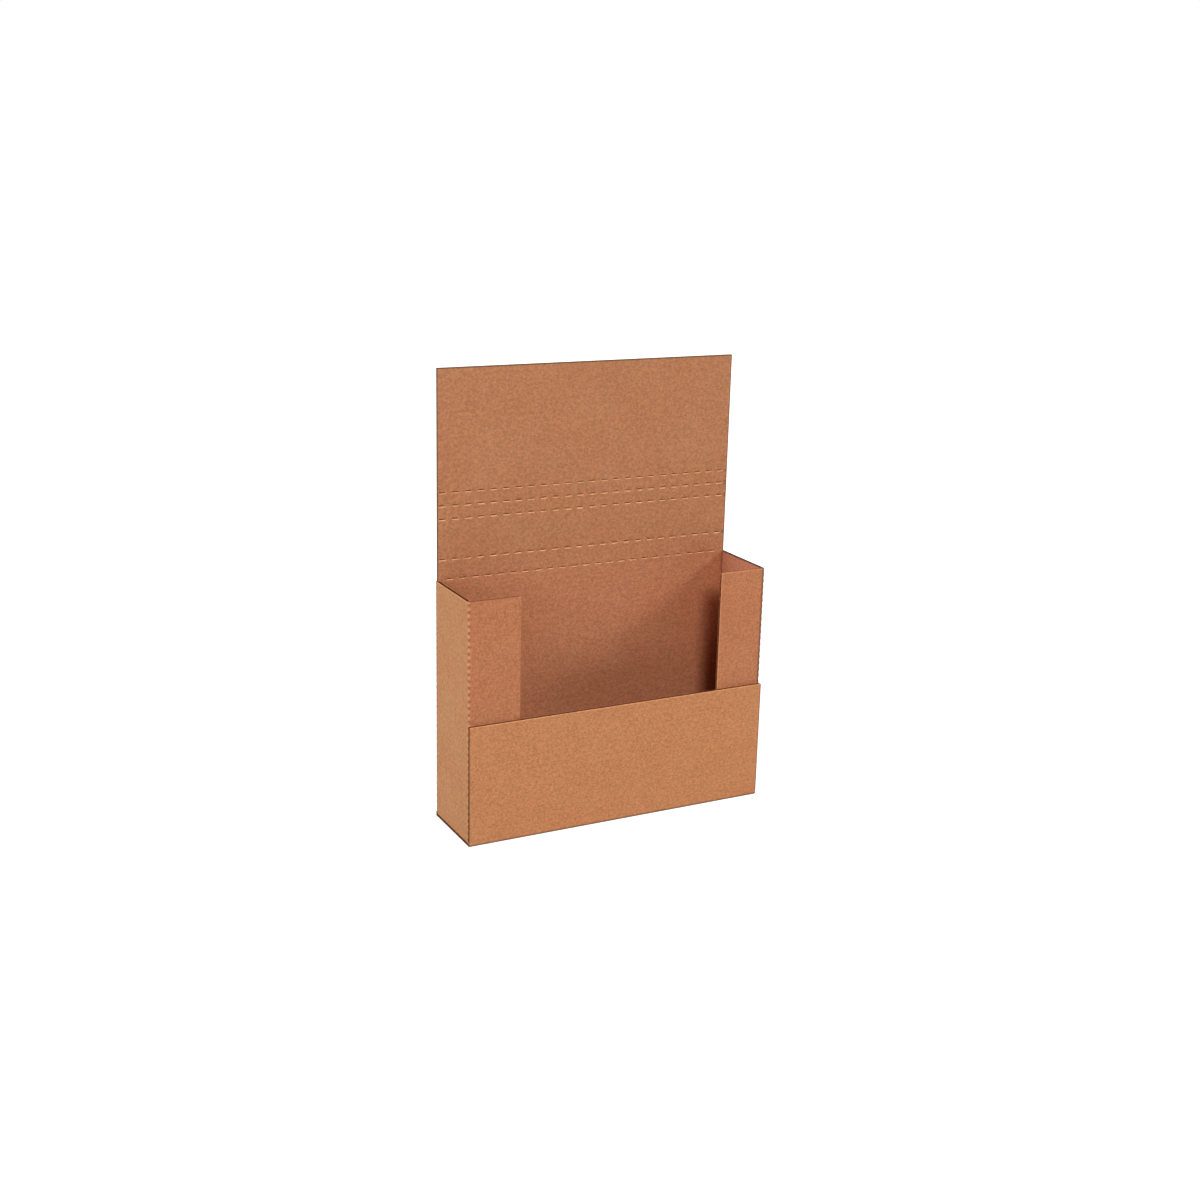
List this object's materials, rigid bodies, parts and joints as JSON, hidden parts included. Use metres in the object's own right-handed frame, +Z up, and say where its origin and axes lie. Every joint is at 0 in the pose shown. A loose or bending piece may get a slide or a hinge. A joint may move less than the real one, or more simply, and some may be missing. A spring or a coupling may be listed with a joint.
{
  "type": "corrugated mailer box",
  "caption": "Plain corrugated mailer box standing open, with a perforated multi-depth lid, two side flaps and a hinged front flap.",
  "frame": {"origin": "middle of the footprint, on the surface that the box stands on", "axes": "+X along the width to the viewer's right, +Y from the front flap to the back panel, +Z up"},
  "size_m": [0.314, 0.0826, 0.4353],
  "materials": {
    "body_board": "plain brown kraft liner, matt",
    "front_board": "plain brown kraft liner, matt",
    "lid_board": "plain brown kraft liner, matt"
  },
  "bodies": {
    "box_body": {"box_body": "body_board"},
    "front_flap": {"front_flap": "front_board"},
    "lid_top": {"lid_top": "lid_board"},
    "lid_front": {"lid_front": "lid_board"}
  },
  "joints": [
    {"name": "front_flap_fold", "type": "hinge", "parent": "box_body", "child": "front_flap", "pos_m": [0, -0.04065, 0.0006], "axis": [1, 0, 0], "range_deg": [0, 90]},
    {"name": "lid_fold", "type": "hinge", "parent": "box_body", "child": "lid_top", "pos_m": [0, 0.03825, 0.2377], "axis": [1, 0, 0], "range_deg": [0, 90]},
    {"name": "lid_front_fold", "type": "hinge", "parent": "lid_top", "child": "lid_front", "pos_m": [0, 0.03825, 0.3202], "axis": [1, 0, 0], "range_deg": [0, 90]}
  ]
}
